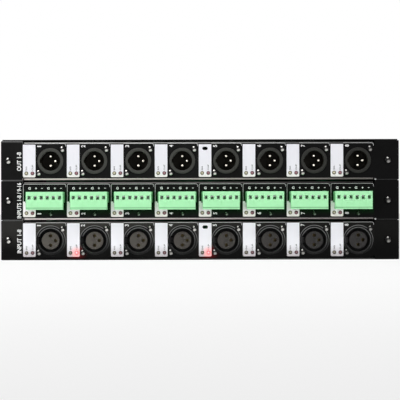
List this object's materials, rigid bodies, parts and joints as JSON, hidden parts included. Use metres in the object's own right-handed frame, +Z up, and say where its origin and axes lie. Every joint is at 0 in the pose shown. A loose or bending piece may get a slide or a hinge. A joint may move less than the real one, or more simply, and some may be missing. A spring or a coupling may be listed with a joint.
{
  "type": "audio patch bay",
  "caption": "Black steel audio connector bay: rows of male three-pin sockets, green plug-in terminals and latching female sockets, with write-on strips and lamps.",
  "frame": {"origin": "middle of the footprint, on the surface that the bottom cover rests on", "axes": "+X to the right and +Z up as seen from the front, which faces -Y"},
  "size_m": [0.334, 0.135, 0.1011],
  "materials": {
    "front_black": "satin",
    "case_black": "satin",
    "bright_screw": "polished",
    "black_screw": "satin",
    "socket_black": "matte",
    "insert_grey": "matte",
    "contact_metal": "polished",
    "pin_metal": "polished",
    "spring_steel": "satin",
    "terminal_green": "satin",
    "clamp_metal": "satin",
    "strip_white": "satin",
    "lamp_green": "gloss",
    "lamp_red": "gloss",
    "card_green": "satin",
    "connector_grey": "matte",
    "can_metal": "satin",
    "guide_plastic": "matte",
    "shell_metal": "satin"
  },
  "bodies": {
    "case": {"output_panel": "front_black", "terminal_panel": "front_black", "input_panel": "front_black", "side_plate_left": "case_black", "side_plate_right": "case_black", "top_cover": "case_black", "bottom_cover": "case_black", "rear_panel": "case_black", "case_screws": "black_screw", "panel_screws": "bright_screw", "socket_screws": "bright_screw", "output_socket_shells": "socket_black", "output_socket_pins": "pin_metal", "input_socket_shells": "socket_black", "input_socket_inserts": "insert_grey", "input_socket_contacts": "contact_metal", "latch_pivot_pins": "spring_steel", "latch_springs": "spring_steel", "terminal_headers": "terminal_green", "terminal_header_pins": "pin_metal", "signal_leds": "lamp_green", "peak_leds": "lamp_red", "led_holders": "socket_black", "label_strips": "strip_white", "output_board": "card_green", "terminal_board": "card_green", "input_board": "card_green", "card_guides": "guide_plastic", "board_edge_plugs": "connector_grey", "backplane_sockets": "connector_grey", "backplane_board": "card_green", "backplane_standoffs": "shell_metal", "board_chips": "socket_black", "board_capacitors": "can_metal", "multiway_sockets": "shell_metal", "jackscrews": "shell_metal"},
    "latch_1": {"input_latch_1": "insert_grey"},
    "latch_2": {"input_latch_2": "insert_grey"},
    "latch_3": {"input_latch_3": "insert_grey"},
    "latch_4": {"input_latch_4": "insert_grey"},
    "latch_5": {"input_latch_5": "insert_grey"},
    "latch_6": {"input_latch_6": "insert_grey"},
    "latch_7": {"input_latch_7": "insert_grey"},
    "latch_8": {"input_latch_8": "insert_grey"},
    "plug_1": {"terminal_plug_1": "terminal_green", "terminal_clamps_1": "clamp_metal"},
    "plug_2": {"terminal_plug_2": "terminal_green", "terminal_clamps_2": "clamp_metal"},
    "plug_3": {"terminal_plug_3": "terminal_green", "terminal_clamps_3": "clamp_metal"},
    "plug_4": {"terminal_plug_4": "terminal_green", "terminal_clamps_4": "clamp_metal"},
    "plug_5": {"terminal_plug_5": "terminal_green", "terminal_clamps_5": "clamp_metal"},
    "plug_6": {"terminal_plug_6": "terminal_green", "terminal_clamps_6": "clamp_metal"},
    "plug_7": {"terminal_plug_7": "terminal_green", "terminal_clamps_7": "clamp_metal"},
    "plug_8": {"terminal_plug_8": "terminal_green", "terminal_clamps_8": "clamp_metal"}
  },
  "joints": [
    {"name": "latch_1_turn", "type": "hinge", "parent": "case", "child": "latch_1", "pos_m": [-0.1365, -0.0385, 0.0164], "axis": [0, 0, -1], "range_deg": [0, 8], "stiffness_Nm_per_rad": 0.2, "springref_deg": -2.86},
    {"name": "latch_2_turn", "type": "hinge", "parent": "case", "child": "latch_2", "pos_m": [-0.0996, -0.0385, 0.0164], "axis": [0, 0, -1], "range_deg": [0, 8], "stiffness_Nm_per_rad": 0.2, "springref_deg": -2.86},
    {"name": "latch_3_turn", "type": "hinge", "parent": "case", "child": "latch_3", "pos_m": [-0.0627, -0.0385, 0.0164], "axis": [0, 0, -1], "range_deg": [0, 8], "stiffness_Nm_per_rad": 0.2, "springref_deg": -2.86},
    {"name": "latch_4_turn", "type": "hinge", "parent": "case", "child": "latch_4", "pos_m": [-0.0258, -0.0385, 0.0164], "axis": [0, 0, -1], "range_deg": [0, 8], "stiffness_Nm_per_rad": 0.2, "springref_deg": -2.86},
    {"name": "latch_5_turn", "type": "hinge", "parent": "case", "child": "latch_5", "pos_m": [0.0111, -0.0385, 0.0164], "axis": [0, 0, -1], "range_deg": [0, 8], "stiffness_Nm_per_rad": 0.2, "springref_deg": -2.86},
    {"name": "latch_6_turn", "type": "hinge", "parent": "case", "child": "latch_6", "pos_m": [0.048, -0.0385, 0.0164], "axis": [0, 0, -1], "range_deg": [0, 8], "stiffness_Nm_per_rad": 0.2, "springref_deg": -2.86},
    {"name": "latch_7_turn", "type": "hinge", "parent": "case", "child": "latch_7", "pos_m": [0.0849, -0.0385, 0.0164], "axis": [0, 0, -1], "range_deg": [0, 8], "stiffness_Nm_per_rad": 0.2, "springref_deg": -2.86},
    {"name": "latch_8_turn", "type": "hinge", "parent": "case", "child": "latch_8", "pos_m": [0.1218, -0.0385, 0.0164], "axis": [0, 0, -1], "range_deg": [0, 8], "stiffness_Nm_per_rad": 0.2, "springref_deg": -2.86},
    {"name": "plug_1_pull", "type": "slide", "parent": "case", "child": "plug_1", "axis": [0, -1, 0], "range_m": [0, 0.02]},
    {"name": "plug_2_pull", "type": "slide", "parent": "case", "child": "plug_2", "axis": [0, -1, 0], "range_m": [0, 0.02]},
    {"name": "plug_3_pull", "type": "slide", "parent": "case", "child": "plug_3", "axis": [0, -1, 0], "range_m": [0, 0.02]},
    {"name": "plug_4_pull", "type": "slide", "parent": "case", "child": "plug_4", "axis": [0, -1, 0], "range_m": [0, 0.02]},
    {"name": "plug_5_pull", "type": "slide", "parent": "case", "child": "plug_5", "axis": [0, -1, 0], "range_m": [0, 0.02]},
    {"name": "plug_6_pull", "type": "slide", "parent": "case", "child": "plug_6", "axis": [0, -1, 0], "range_m": [0, 0.02]},
    {"name": "plug_7_pull", "type": "slide", "parent": "case", "child": "plug_7", "axis": [0, -1, 0], "range_m": [0, 0.02]},
    {"name": "plug_8_pull", "type": "slide", "parent": "case", "child": "plug_8", "axis": [0, -1, 0], "range_m": [0, 0.02]}
  ]
}
